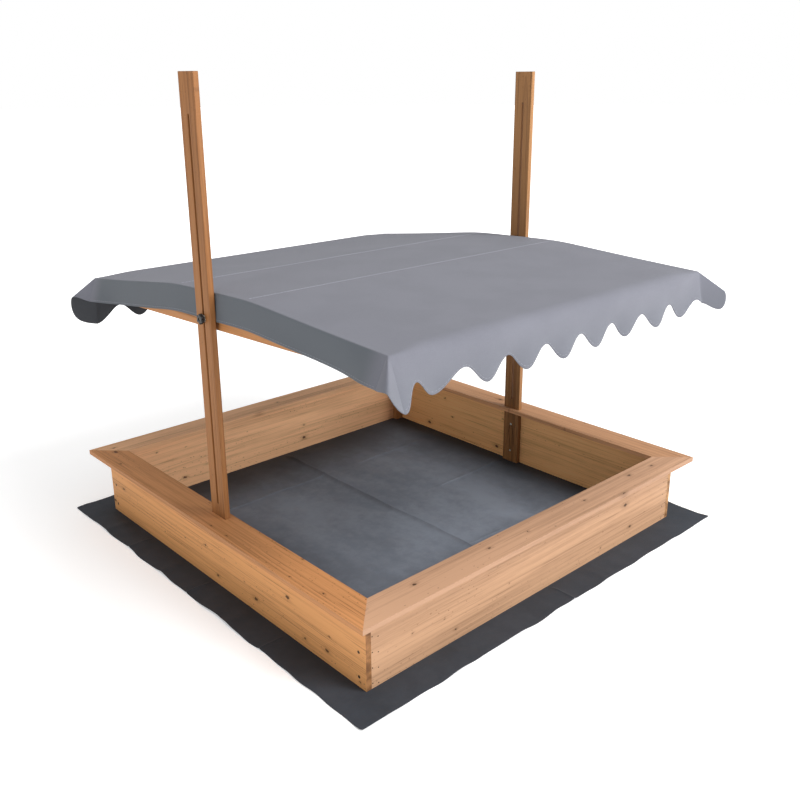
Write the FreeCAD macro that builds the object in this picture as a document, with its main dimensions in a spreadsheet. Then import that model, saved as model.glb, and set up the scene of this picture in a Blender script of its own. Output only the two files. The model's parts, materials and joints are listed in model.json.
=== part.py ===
"""Wooden sandbox with a canopy that slides and tilts between two slotted posts.

The origin is the middle of the ground sheet's underside. +Z is up and +X runs from the left
post to the right post. The front of the box is at -Y. Lengths are in millimetres.
Canopy pieces are drawn about the bolt axis, level, and are then tilted and lifted together.
"""

import math
import os

import FreeCAD, Part
import Sketcher

OUT = "parts"
SHEET = "Sizes"
X_AXIS = FreeCAD.Vector(1, 0, 0)
Z_AXIS = FreeCAD.Vector(0, 0, 1)
LEFT, RIGHT = -1, 1
FRONT, BACK = -1, 1
SIDES = (("left", LEFT), ("right", RIGHT))
ENDS = (("front", FRONT), ("back", BACK))

doc = FreeCAD.newDocument("sandbox_with_cover")
sheet = doc.addObject("Spreadsheet::Sheet", SHEET)
nodes = {}


class Size:
    """A length with its number and the spreadsheet expression that gives it."""

    def __init__(self, number, text):
        self.number = number
        self.text = text

    def _join(self, sign, other, number):
        return Size(number, "(%s %s %s)" % (self.text, sign, as_size(other).text))

    def __add__(self, other):
        return self._join("+", other, self.number + as_size(other).number)

    def __sub__(self, other):
        return self._join("-", other, self.number - as_size(other).number)

    def __mul__(self, other):
        return self._join("*", other, self.number * as_size(other).number)

    def __truediv__(self, other):
        return self._join("/", other, self.number / as_size(other).number)

    def __radd__(self, other):
        return as_size(other) + self

    def __rsub__(self, other):
        return as_size(other) - self

    def __rmul__(self, other):
        return as_size(other) * self

    def __neg__(self):
        return 0 - self


def as_size(value):
    """A plain number as a Size; a Size is returned as it is."""
    if isinstance(value, Size):
        return value
    return Size(float(value), "%.6g" % value)


def cell(alias, value):
    """Add one driving dimension to the spreadsheet and return it as a Size."""
    cell.row += 1
    sheet.set("A%d" % cell.row, alias)
    sheet.set("B%d" % cell.row, str(value))
    sheet.setAlias("B%d" % cell.row, alias)
    return Size(float(value), "%s.%s" % (SHEET, alias))


cell.row = 0

# Box
sheet_half = cell("sheet_half", 650)
sheet_thick = cell("sheet_thick", 1)
box_half = cell("box_half", 560)
wall_top = cell("wall_top", 172)
wall_thick = cell("wall_thick", 14)
block_length = cell("block_length", 30)
block_width = cell("block_width", 18)
seat_thick = cell("seat_thick", 12)
seat_width = cell("seat_width", 80)
seat_overhang = cell("seat_overhang", 40)

# Posts
post_width = cell("post_width", 60)
post_thick = cell("post_thick", 14)
post_top = cell("post_top", 1200)
slot_bottom = cell("slot_bottom", 216)
slot_top = cell("slot_top", 1116)
slot_width = cell("slot_width", 7)
mortise_gap = cell("mortise_gap", 0.5)

# Canopy frame, about the bolt axis
pivot_height = cell("pivot_height", 675)
canopy_tilt = cell("canopy_tilt", -2.2)
canopy_half_length = cell("canopy_half_length", 600)
canopy_half_width = cell("canopy_half_width", 524)
rail_thick = cell("rail_thick", 16)
rail_above = cell("rail_above", 16)
rail_below = cell("rail_below", 28)
ridge_centre = cell("ridge_centre", 143)
ridge_width = cell("ridge_width", 30)
ridge_thick = cell("ridge_thick", 16)
riser_height = cell("riser_height", 24)
riser_half_top = cell("riser_half_top", 165)
riser_half_base = cell("riser_half_base", 190)

# Canopy fabric
cloth_thick = cell("cloth_thick", 1.2)
drape_depth = cell("drape_depth", 66)
front_notch_depth = cell("front_notch_depth", 63)
back_notch_depth = cell("back_notch_depth", 88)
wave_depth = cell("wave_depth", 44)
wave_count = cell("wave_count", 8.5)

# Clamps
bolt_radius = cell("bolt_radius", 3)
neck_size = cell("neck_size", 6.2)
neck_length = cell("neck_length", 4)
bolt_head_radius = cell("bolt_head_radius", 7.5)
bolt_head_height = cell("bolt_head_height", 3.5)
neck_hole_radius = cell("neck_hole_radius", 4.5)
cloth_hole_radius = cell("cloth_hole_radius", 3.4)
bore_radius = cell("bore_radius", 3.05)
air_gap = cell("air_gap", 0.3)
washer_radius = cell("washer_radius", 9)
washer_thick = cell("washer_thick", 1.5)
spacer_radius = cell("spacer_radius", 10)
insert_radius = cell("insert_radius", 4)
insert_length = cell("insert_length", 7.5)
knob_height = cell("knob_height", 9.5)
knob_neck_height = cell("knob_neck_height", 2)
knob_neck_radius = cell("knob_neck_radius", 7.5)
knob_middle_radius = cell("knob_middle_radius", 10.8)
knob_round = cell("knob_round", 1.2)

# Fasteners
screw_radius = cell("screw_radius", 2)
screw_head_radius = cell("screw_head_radius", 3.8)
screw_head_depth = cell("screw_head_depth", 2.5)
corner_screw_length = cell("corner_screw_length", 40)
corner_screw_low = cell("corner_screw_low", 25)
corner_screw_high = cell("corner_screw_high", 84)
post_screw_length = cell("post_screw_length", 26)
post_screw_low = cell("post_screw_low", 38)
post_screw_high = cell("post_screw_high", 129)
dome_height = cell("dome_height", 2.4)
nail_radius = cell("nail_radius", 0.8)
nail_head_radius = cell("nail_head_radius", 1.6)
nail_head_depth = cell("nail_head_depth", 1)
nail_length = cell("nail_length", 20)
nail_first = cell("nail_first", 13)
nail_pitch = cell("nail_pitch", 37)
dowel_radius = cell("dowel_radius", 3.5)
dowel_down = cell("dowel_down", 18)
dowel_up = cell("dowel_up", 9)
dowel_spot = cell("dowel_spot", 300)
frame_screw_length = cell("frame_screw_length", 45)
ridge_screw_length = cell("ridge_screw_length", 52)

NAIL_ROWS = 4
KNOB_LOBES = 6
VALLEY_LEAN = math.radians(40)
HALF_CIRCLE_REACH = 0.001

doc.recompute()

# Places worked out from the driving dimensions
wall_inner = box_half - wall_thick
seat_outer = box_half + seat_overhang
seat_inner = seat_outer - seat_width
post_inner = wall_inner - post_thick
roof_underside = rail_above + riser_height + ridge_thick
roof_shoulder = ridge_centre + ridge_width / 2
cloth_face = canopy_half_width + cloth_thick


# ---------------------------------------------------------------- drawing helpers


def bind(thing, prop, size):
    """Drive a property of an object by the spreadsheet."""
    thing.setExpression(prop, as_size(size).text)


def origin_plane(body, role):
    return [f for f in body.Origin.OriginFeatures if f.Role == role][0]


def place(sketch, index, spot, x, y):
    """Fix one point of a sketch at (x, y) from the sketch's origin."""
    for kind, size in (("DistanceX", x), ("DistanceY", y)):
        rule = Sketcher.Constraint(kind, -1, 1, index, spot, as_size(size).number)
        number = sketch.addConstraint(rule)
        bind(sketch, "Constraints[%d]" % number, size)


def draw_arc(sketch, start, end, radius, bulge):
    """An arc from start to end that bows to the left of its chord, or to the right if
    bulge is -1. A half circle on a level chord is held by its centre's height in place of
    its radius. Returns the arc's index and which of its two ends is the start."""
    a = FreeCAD.Vector(as_size(start[0]).number, as_size(start[1]).number, 0)
    b = FreeCAD.Vector(as_size(end[0]).number, as_size(end[1]).number, 0)
    chord = b - a
    side = FreeCAD.Vector(-chord.y, chord.x, 0).normalize() * bulge
    reach = math.sqrt(max(radius.number**2 - (chord.Length / 2) ** 2, 0))
    centre = (a + b) * 0.5 - side * reach
    first, last = (b, a) if bulge > 0 else (a, b)
    angles = [math.atan2((p - centre).y, (p - centre).x) for p in (first, last)]
    circle = Part.Circle(centre, Z_AXIS, radius.number)
    index = sketch.addGeometry(Part.ArcOfCircle(circle, angles[0], angles[1]))
    if reach < HALF_CIRCLE_REACH:
        held = Sketcher.Constraint("DistanceY", -1, 1, index, 3, centre.y)
        size = start[1]
    else:
        held = Sketcher.Constraint("Radius", index, radius.number)
        size = radius
    rule = sketch.addConstraint(held)
    bind(sketch, "Constraints[%d]" % rule, size)
    return index, (2 if bulge > 0 else 1)


def draw_loop(sketch, points, arcs=None):
    """A closed loop through points. arcs gives (radius, bulge) for the edge that leaves
    the point of that number; the other edges are straight."""
    arcs = arcs or {}
    count = len(points)
    for i, start in enumerate(points):
        end = points[(i + 1) % count]
        if i in arcs:
            index, spot = draw_arc(sketch, start, end, *arcs[i])
        else:
            ends = [FreeCAD.Vector(as_size(x).number, as_size(y).number, 0) for x, y in (start, end)]
            index, spot = sketch.addGeometry(Part.LineSegment(*ends)), 1
        place(sketch, index, spot, *start)
        place(sketch, index, 3 - spot, *end)


def draw_circle(sketch, x, y, radius):
    centre = FreeCAD.Vector(as_size(x).number, as_size(y).number, 0)
    index = sketch.addGeometry(Part.Circle(centre, Z_AXIS, radius.number))
    rule = sketch.addConstraint(Sketcher.Constraint("Radius", index, radius.number))
    bind(sketch, "Constraints[%d]" % rule, radius)
    if centre.Length > 0:
        place(sketch, index, 3, x, y)
    else:
        sketch.addConstraint(Sketcher.Constraint("Coincident", index, 3, -1, 1))


def new_sketch(body, role, offset):
    """An empty sketch on one of the body's origin planes, moved along its normal."""
    sketch = body.newObject("Sketcher::SketchObject", body.Name + "_sketch")
    sketch.AttachmentSupport = [(origin_plane(body, role), "")]
    sketch.MapMode = "FlatFace"
    bind(sketch, ".AttachmentOffset.Base.z", offset)
    return sketch


def pad(body, sketch, depth):
    feature = body.newObject("PartDesign::Pad", body.Name + "_pad")
    feature.Profile = sketch
    bind(feature, "Length", depth)
    return feature


def board(name, role, offset, depth, outline, arcs=None, holes=(), cuts=()):
    """A body padded from an outline. holes are circles (x, y, radius) and cuts are inner
    loops (points, arcs)."""
    body = doc.addObject("PartDesign::Body", name)
    sketch = new_sketch(body, role, offset)
    if outline:
        draw_loop(sketch, outline, arcs)
    for points, inner_arcs in cuts:
        draw_loop(sketch, points, inner_arcs)
    for hole in holes:
        draw_circle(sketch, *hole)
    pad(body, sketch, depth)
    return body


def rectangle(x0, x1, y0, y1):
    return [(x0, y0), (x1, y0), (x1, y1), (x0, y1)]


def span(side, near, far):
    """The lower and upper ends of a stretch that lies between near and far on one side."""
    return (near, far) if side > 0 else (-far, -near)


def group(name, members):
    made = doc.addObject("Part::Compound", name)
    made.Links = members
    return made


def cut(name, base, tool):
    made = doc.addObject("Part::Cut", name)
    made.Base = base
    made.Tool = tool
    return made


def keep(label, thing):
    """Make this object a sub-part, named by its label."""
    thing.Label = label
    nodes[label] = thing


def lift(thing, tilted=True):
    """Move a piece drawn about the bolt axis to where the canopy is clamped."""
    angle = canopy_tilt.number if tilted else 0
    spot = FreeCAD.Vector(0, 0, pivot_height.number)
    thing.Placement = FreeCAD.Placement(spot, FreeCAD.Rotation(X_AXIS, angle))
    bind(thing, ".Placement.Base.z", pivot_height)
    if tilted:
        bind(thing, ".Placement.Rotation.Angle", canopy_tilt)
    return thing


# ---------------------------------------------------------------- fasteners


def aim(thing, spot, heading):
    """Put a primitive at spot with its own +Z along heading."""
    turn = FreeCAD.Rotation(Z_AXIS, FreeCAD.Vector(*heading))
    base = FreeCAD.Vector(*[as_size(s).number for s in spot])
    thing.Placement = FreeCAD.Placement(base, turn)
    for axis, size in zip("xyz", spot):
        bind(thing, ".Placement.Base." + axis, size)


def rod(name, radius, length, spot, heading):
    made = doc.addObject("Part::Cylinder", name)
    bind(made, "Radius", radius)
    bind(made, "Height", length)
    aim(made, spot, heading)
    return made


def fused(name, members):
    made = doc.addObject("Part::MultiFuse", name)
    made.Shapes = members
    return made


def screw(name, length, spot, heading):
    """A countersunk screw whose head is flush with the face at spot."""
    head = doc.addObject("Part::Cone", name + "_head")
    bind(head, "Radius1", screw_head_radius)
    bind(head, "Radius2", screw_radius)
    bind(head, "Height", screw_head_depth)
    aim(head, spot, heading)
    return fused(name, [rod(name + "_shank", screw_radius, length, spot, heading), head])


def dome(name, radius, height, spot, heading):
    """A shallow dome that rises from spot along heading."""
    made = doc.addObject("Part::Ellipsoid", name)
    bind(made, "Radius1", height)
    bind(made, "Radius2", radius)
    bind(made, "Radius3", radius)
    made.Angle1 = 0
    made.Angle2 = 90
    aim(made, spot, heading)
    return made


def domed_screw(name, length, spot, heading):
    """A round-headed screw whose dome stands on the face at spot."""
    back = tuple(-part for part in heading)
    shank = rod(name + "_shank", screw_radius, length, spot, heading)
    return fused(name, [shank, dome(name + "_dome", screw_head_radius, dome_height, spot, back)])


def nail(name, spot, heading):
    shank = rod(name + "_shank", nail_radius, nail_length, spot, heading)
    head = rod(name + "_head", nail_head_radius, nail_head_depth, spot, heading)
    return fused(name, [shank, head])


def corner_screws():
    """Two screws through each end of the side walls into the corner blocks."""
    made = []
    run = wall_inner - block_width / 2
    for side_name, side in SIDES:
        for end_name, end in ENDS:
            for level, rise in (("low", corner_screw_low), ("high", corner_screw_high)):
                name = "corner_screw_%s_%s_%s" % (side_name, end_name, level)
                spot = (box_half * side, run * end, rise)
                made.append(screw(name, corner_screw_length, spot, (-side, 0, 0)))
    return made


def post_screws():
    """Two round-headed screws through the foot of each post into the wall behind it."""
    made = []
    for side_name, side in SIDES:
        for level, rise in (("low", post_screw_low), ("high", post_screw_high)):
            spot = (post_inner * side, 0, rise)
            name = "post_screw_%s_%s" % (side_name, level)
            made.append(domed_screw(name, post_screw_length, spot, (side, 0, 0)))
    return made


def wall_nails():
    """Two columns of nails through each end of the front and back walls into the blocks."""
    made = []
    columns = ((wall_inner - 3, 0), (wall_inner - block_length + 11, -6))
    for side_name, side in SIDES:
        for end_name, end in ENDS:
            for column, (run, shift) in enumerate(columns):
                for row in range(NAIL_ROWS):
                    name = "nail_%s_%s_%d_%d" % (side_name, end_name, column, row)
                    rise = nail_first + nail_pitch * row + shift
                    made.append(nail(name, (run * side, box_half * end, rise), (0, -end, 0)))
    return made


def seat_dowels():
    """Two dowels up from the top edge of each wall into the seat board above it."""
    made = []
    middle = box_half - wall_thick / 2
    bottom = wall_top - dowel_down
    length = dowel_down + dowel_up
    for number, along in enumerate((-1, 1)):
        for side_name, side in SIDES:
            spot = (middle * side, dowel_spot * along, bottom)
            made.append(rod("dowel_%s_%d" % (side_name, number), dowel_radius, length, spot, (0, 0, 1)))
        for end_name, end in ENDS:
            spot = (dowel_spot * along, middle * end, bottom)
            made.append(rod("dowel_%s_%d" % (end_name, number), dowel_radius, length, spot, (0, 0, 1)))
    return made


def frame_screws():
    """Two screws through the front and back bars into each end of the side rails."""
    made = []
    run = canopy_half_width - rail_thick / 2
    for side_name, side in SIDES:
        for end_name, end in ENDS:
            for level, rise in enumerate((rail_above - 12, 12 - rail_below)):
                name = "frame_screw_%s_%s_%d" % (side_name, end_name, level)
                spot = (run * side, canopy_half_length * end, rise)
                made.append(screw(name, frame_screw_length, spot, (0, -end, 0)))
    return made


def ridge_screws():
    """A long screw down through each end of the ridge bars, the riser and the rail."""
    made = []
    run = canopy_half_width - rail_thick / 2
    for side_name, side in SIDES:
        for end_name, end in ENDS:
            spot = (run * side, ridge_centre * end, roof_underside)
            name = "ridge_screw_%s_%s" % (side_name, end_name)
            made.append(screw(name, ridge_screw_length, spot, (0, 0, -1)))
    return made


# ---------------------------------------------------------------- the box


def add_ground_sheet():
    outline = rectangle(-sheet_half, sheet_half, -sheet_half, sheet_half)
    keep("ground_sheet", board("ground_sheet_body", "XY_Plane", 0, sheet_thick, outline))


def add_walls(fasteners):
    """The side walls run the full length and the front and back walls fit between them."""
    height = wall_top - sheet_thick
    for name, side in SIDES:
        x0, x1 = span(side, wall_inner, box_half)
        outline = rectangle(x0, x1, -box_half, box_half)
        blank = board("wall_%s_blank" % name, "XY_Plane", sheet_thick, height, outline)
        keep("wall_" + name, cut("wall_%s_cut" % name, blank, fasteners))
    for name, end in ENDS:
        y0, y1 = span(end, wall_inner, box_half)
        outline = rectangle(-wall_inner, wall_inner, y0, y1)
        blank = board("wall_%s_blank" % name, "XY_Plane", sheet_thick, height, outline)
        keep("wall_" + name, cut("wall_%s_cut" % name, blank, fasteners))


def add_corner_blocks(fasteners):
    height = wall_top - sheet_thick
    for end_name, end in ENDS:
        for side_name, side in SIDES:
            x0, x1 = span(side, wall_inner - block_length, wall_inner)
            y0, y1 = span(end, wall_inner - block_width, wall_inner)
            name = "corner_block_%s_%s" % (end_name, side_name)
            blank = board(name + "_blank", "XY_Plane", sheet_thick, height, rectangle(x0, x1, y0, y1))
            keep(name, cut(name + "_cut", blank, fasteners))


def add_seats(fasteners):
    """Four mitred seat boards; each side board has a mortise that its post passes through."""
    for name, end in ENDS:
        outline = [
            (-seat_outer, seat_outer * end),
            (seat_outer, seat_outer * end),
            (seat_inner, seat_inner * end),
            (-seat_inner, seat_inner * end),
        ]
        blank = board("seat_%s_blank" % name, "XY_Plane", wall_top, seat_thick, outline)
        keep("seat_" + name, cut("seat_%s_cut" % name, blank, fasteners))
    half = post_width / 2 + mortise_gap
    for name, side in SIDES:
        outline = [
            (seat_outer * side, -seat_outer),
            (seat_outer * side, seat_outer),
            (seat_inner * side, seat_inner),
            (seat_inner * side, -seat_inner),
        ]
        x0, x1 = span(side, post_inner - mortise_gap, wall_inner + mortise_gap)
        mortise = (rectangle(x0, x1, -half, half), None)
        blank = board("seat_%s_blank" % name, "XY_Plane", wall_top, seat_thick, outline, cuts=[mortise])
        keep("seat_" + name, cut("seat_%s_cut" % name, blank, fasteners))


def add_posts(fasteners):
    """Each post is one board with a long slot that has round ends."""
    half = slot_width / 2
    low, high = slot_bottom + half, slot_top - half
    slot_points = [(half, low), (half, high), (-half, high), (-half, low)]
    slot_arcs = {1: (half, -1), 3: (half, -1)}
    edge = post_width / 2
    for name, side in SIDES:
        x0, x1 = span(side, post_inner, wall_inner)
        outline = rectangle(-edge, edge, sheet_thick, post_top)
        slot = (slot_points, slot_arcs)
        blank = board("post_%s_blank" % name, "YZ_Plane", x0, x1 - x0, outline, cuts=[slot])
        keep("post_" + name, cut("post_%s_cut" % name, blank, fasteners))


# ---------------------------------------------------------------- the canopy


def canopy_cut(name, blank, fasteners):
    keep(name, lift(cut(name + "_cut", blank, fasteners)))


def add_canopy_frame(fasteners):
    """Side rails between a front and a back bar, and two ridge bars raised on risers."""
    rail_inner = canopy_half_width - rail_thick
    rail_end = canopy_half_length - rail_thick
    for name, side in SIDES:
        x0, x1 = span(side, rail_inner, canopy_half_width)
        rail = rectangle(-rail_end, rail_end, -rail_below, rail_above)
        hole = (0, 0, neck_hole_radius)
        blank = board("rail_%s_blank" % name, "YZ_Plane", x0, x1 - x0, rail, holes=[hole])
        canopy_cut("rail_" + name, blank, fasteners)
        riser = [
            (-riser_half_base, rail_above),
            (riser_half_base, rail_above),
            (riser_half_top, rail_above + riser_height),
            (-riser_half_top, rail_above + riser_height),
        ]
        blank = board("riser_%s_blank" % name, "YZ_Plane", x0, x1 - x0, riser)
        canopy_cut("riser_" + name, blank, fasteners)
    width = canopy_half_width * 2
    for name, end in ENDS:
        y0, y1 = span(end, rail_end, canopy_half_length)
        bar = rectangle(y0, y1, -rail_below, rail_above)
        blank = board("bar_%s_blank" % name, "YZ_Plane", -canopy_half_width, width, bar)
        canopy_cut("bar_" + name, blank, fasteners)
        y0, y1 = span(end, ridge_centre - ridge_width / 2, roof_shoulder)
        ridge = rectangle(y0, y1, rail_above + riser_height, roof_underside)
        blank = board("ridge_bar_%s_blank" % name, "YZ_Plane", -canopy_half_width, width, ridge)
        canopy_cut("ridge_bar_" + name, blank, fasteners)


def roof_line(lower):
    """The roof's section from front to back, lowered by the given amount."""
    return [
        (-canopy_half_length, rail_above - lower),
        (-roof_shoulder, roof_underside - lower),
        (roof_shoulder, roof_underside - lower),
        (canopy_half_length, rail_above - lower),
    ]


def wave_edge(notch_depth):
    """The lower edge of a valance from left to right: waves made of equal tangent arcs.
    Returns its points and, for each point but the last, the arc that leaves it."""
    half_waves = int(round(wave_count.number * 2))
    step = cloth_face / wave_count
    notch = rail_above + cloth_thick - notch_depth
    middle = notch - wave_depth / 2
    radius = (step * step + wave_depth * wave_depth) / (wave_depth * 4)
    points = [(-cloth_face, notch - wave_depth)]
    bulges = []
    for number in range(half_waves):
        points.append((step * (number + 0.5) - cloth_face, middle))
        bulges.append(-1 if number % 2 == 0 else 1)
    points.append((cloth_face, notch if half_waves % 2 else notch - wave_depth))
    bulges.append(bulges[-1] * -1)
    return points, [(radius, bulge) for bulge in bulges]


def add_canopy_cloth():
    """The roof, two side drapes with a straight hem, and two valances with a wavy hem."""
    roof = roof_line(0) + roof_line(-cloth_thick)[::-1]
    body = board("canopy_top_body", "YZ_Plane", -cloth_face, cloth_face * 2, roof)
    keep("canopy_top", lift(body))
    drape = roof_line(0) + roof_line(drape_depth)[::-1]
    for name, side in SIDES:
        x0, x1 = span(side, canopy_half_width, cloth_face)
        hole = (0, 0, cloth_hole_radius)
        body = board("drape_%s_body" % name, "YZ_Plane", x0, x1 - x0, drape, holes=[hole])
        keep("drape_" + name, lift(body))
    crown = rail_above + cloth_thick
    depths = {"front": front_notch_depth, "back": back_notch_depth}
    for name, end in ENDS:
        points, edge_arcs = wave_edge(depths[name])
        outline = points + [(cloth_face, crown), (-cloth_face, crown)]
        arcs = dict(enumerate(edge_arcs))
        # The sketch plane's normal is -Y, so the offset is measured towards the front.
        y0 = span(-end, canopy_half_length, canopy_half_length + cloth_thick)[0]
        body = board("valance_%s_body" % name, "XZ_Plane", y0, cloth_thick, outline, arcs)
        keep("valance_" + name, lift(body))


# ---------------------------------------------------------------- the clamps


def add_bolts():
    """A carriage bolt on each side: head inside the rail, shank out through post and knob."""
    start = canopy_half_width - rail_thick
    tip = wall_inner + air_gap * 2 + washer_thick + insert_length
    for name, side in SIDES:
        spot = (start * side, 0, 0)
        head = dome("bolt_%s_head" % name, bolt_head_radius, bolt_head_height, spot, (-side, 0, 0))
        shank = rod("bolt_%s_shank" % name, bolt_radius, tip - start, spot, (side, 0, 0))
        neck = doc.addObject("Part::Box", "bolt_%s_neck" % name)
        bind(neck, "Length", neck_length)
        bind(neck, "Width", neck_size)
        bind(neck, "Height", neck_size)
        bind(neck, ".Placement.Base.x", span(side, start, start + neck_length)[0])
        bind(neck, ".Placement.Base.y", -neck_size / 2)
        bind(neck, ".Placement.Base.z", -neck_size / 2)
        keep("bolt_" + name, lift(fused("bolt_%s_fuse" % name, [head, shank, neck])))


def ring(name, radius, near, far, side):
    """A round tube on the bolt's axis that the bolt turns in."""
    x0, x1 = span(side, near, far)
    circles = [(0, 0, radius), (0, 0, bore_radius)]
    return lift(board(name, "YZ_Plane", x0, x1 - x0, None, holes=circles), tilted=False)


def add_washers():
    """A spacer between drape and post, and a washer between post and knob, on each side."""
    for name, side in SIDES:
        near, far = cloth_face + air_gap, post_inner - air_gap
        keep("spacer_" + name, ring("spacer_%s_body" % name, spacer_radius, near, far, side))
        near = wall_inner + air_gap
        far = near + washer_thick
        keep("washer_" + name, ring("washer_%s_body" % name, washer_radius, near, far, side))


def star_outline():
    """The knob's outline: tangent lobes and valleys that meet on one circle. A lobe's arc
    leans from its chord by one step more than a valley's, which keeps them tangent."""
    step = math.pi / KNOB_LOBES
    points = []
    arcs = {}
    for number in range(KNOB_LOBES * 2):
        angle = step * (number - 0.5)
        points.append((knob_middle_radius * math.cos(angle), knob_middle_radius * math.sin(angle)))
        is_lobe = number % 2 == 0
        lean = VALLEY_LEAN + step if is_lobe else VALLEY_LEAN
        radius = knob_middle_radius * (math.sin(step / 2) / math.sin(lean))
        arcs[number] = (radius, -1 if is_lobe else 1)
    return points, arcs


def outer_rim(shape):
    """The names of the edges round the star's outer face."""
    top = shape.BoundBox.ZMax
    names = []
    for number, edge in enumerate(shape.Edges, 1):
        reach = min(math.hypot(vertex.Point.x, vertex.Point.y) for vertex in edge.Vertexes)
        if edge.BoundBox.ZMin > top - 0.01 and reach > insert_radius.number * 2:
            names.append("Edge%d" % number)
    return names


def knob_head(name):
    """A star head on a short round neck, drawn from the neck outwards."""
    body = doc.addObject("PartDesign::Body", name)
    neck = new_sketch(body, "XY_Plane", 0)
    draw_circle(neck, 0, 0, knob_neck_radius)
    draw_circle(neck, 0, 0, insert_radius)
    pad(body, neck, knob_height)
    star = new_sketch(body, "XY_Plane", knob_neck_height)
    points, arcs = star_outline()
    draw_loop(star, points, arcs)
    draw_circle(star, 0, 0, insert_radius)
    head = pad(body, star, knob_height - knob_neck_height)
    doc.recompute()
    rounded = body.newObject("PartDesign::Fillet", name + "_round")
    rounded.Base = (head, outer_rim(body.Shape))
    bind(rounded, "Radius", knob_round)
    return body


def add_knobs():
    """A star knob with a threaded insert on the end of each bolt."""
    foot = wall_inner + air_gap * 2 + washer_thick
    for name, side in SIDES:
        body = knob_head("knob_%s_body" % name)
        aim(body, (foot * side, 0, pivot_height), (side, 0, 0))
        keep("knob_" + name, body)
        near, far = foot, foot + insert_length
        tube = ring("insert_%s_body" % name, insert_radius, near, far, side)
        keep("knob_insert_" + name, tube)


# ---------------------------------------------------------------- build and write


def build():
    box_groups = {
        "corner_screws": corner_screws(),
        "post_screws": post_screws(),
        "wall_nails": wall_nails(),
        "seat_dowels": seat_dowels(),
    }
    for name, members in box_groups.items():
        keep(name, group(name + "_group", members))
    box_fasteners = group("box_fasteners", [nodes[name] for name in box_groups])
    canopy_groups = {"frame_screws": frame_screws(), "ridge_screws": ridge_screws()}
    drawn = [group(name + "_drawn", members) for name, members in canopy_groups.items()]
    canopy_fasteners = group("canopy_fasteners", drawn)
    for name, source in zip(canopy_groups, drawn):
        keep(name, lift(group(name + "_group", [source])))

    add_ground_sheet()
    add_walls(box_fasteners)
    add_corner_blocks(box_fasteners)
    add_seats(box_fasteners)
    add_posts(box_fasteners)
    add_canopy_frame(canopy_fasteners)
    add_canopy_cloth()
    add_bolts()
    add_washers()
    add_knobs()
    doc.recompute()


def check():
    """Stop if any object failed or any sub-part is not a sound solid."""
    for thing in doc.Objects:
        if "Invalid" in thing.State or "Error" in thing.State:
            raise RuntimeError("%s failed: %s" % (thing.Label, thing.State))
    for label, thing in nodes.items():
        shape = thing.Shape
        if shape.isNull() or not shape.isValid() or not shape.Solids:
            raise RuntimeError("%s has no sound shape" % label)
        if min(solid.Volume for solid in shape.Solids) <= 0:
            raise RuntimeError("%s has an empty solid" % label)


def write():
    os.makedirs(OUT, exist_ok=True)
    for label, thing in nodes.items():
        thing.Shape.exportStep(os.path.join(OUT, label + ".step"))
        print("%-28s %2d solids %12.1f mm3" % (label, len(thing.Shape.Solids), thing.Shape.Volume))


build()
check()
write()
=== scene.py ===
import json
import math

import bpy
import numpy as np
from mathutils import Matrix, Vector, noise


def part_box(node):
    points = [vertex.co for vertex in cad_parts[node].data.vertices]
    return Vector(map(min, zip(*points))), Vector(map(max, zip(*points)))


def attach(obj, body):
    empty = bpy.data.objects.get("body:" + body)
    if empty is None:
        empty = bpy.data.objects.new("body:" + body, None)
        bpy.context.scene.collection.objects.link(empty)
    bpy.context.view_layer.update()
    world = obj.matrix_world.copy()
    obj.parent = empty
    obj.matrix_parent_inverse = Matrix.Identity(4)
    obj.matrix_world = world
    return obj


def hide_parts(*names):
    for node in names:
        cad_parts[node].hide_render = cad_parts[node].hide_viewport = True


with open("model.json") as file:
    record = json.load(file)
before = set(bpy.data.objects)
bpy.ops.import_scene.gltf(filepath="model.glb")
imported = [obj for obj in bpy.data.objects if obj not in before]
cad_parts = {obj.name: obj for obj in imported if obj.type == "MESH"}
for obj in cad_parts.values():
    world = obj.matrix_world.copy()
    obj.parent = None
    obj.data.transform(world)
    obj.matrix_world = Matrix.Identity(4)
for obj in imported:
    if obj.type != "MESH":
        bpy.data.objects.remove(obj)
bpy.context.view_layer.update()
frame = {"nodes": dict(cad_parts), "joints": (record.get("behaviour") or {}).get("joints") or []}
nodes = frame["nodes"]
joints = {joint["name"]: joint for joint in frame["joints"]}

MM = 0.001

# The canopy's own frame: x along the pivot, v across it, h up, from the bolt's axis.
PIVOT = Vector(joints["canopy_tilt"]["pos_m"])
REST_TILT = math.radians(-2.2)
TO_WORLD = Matrix.Translation(PIVOT) @ Matrix.Rotation(REST_TILT, 4, "X")


# ---------------------------------------------------------------- materials


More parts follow.
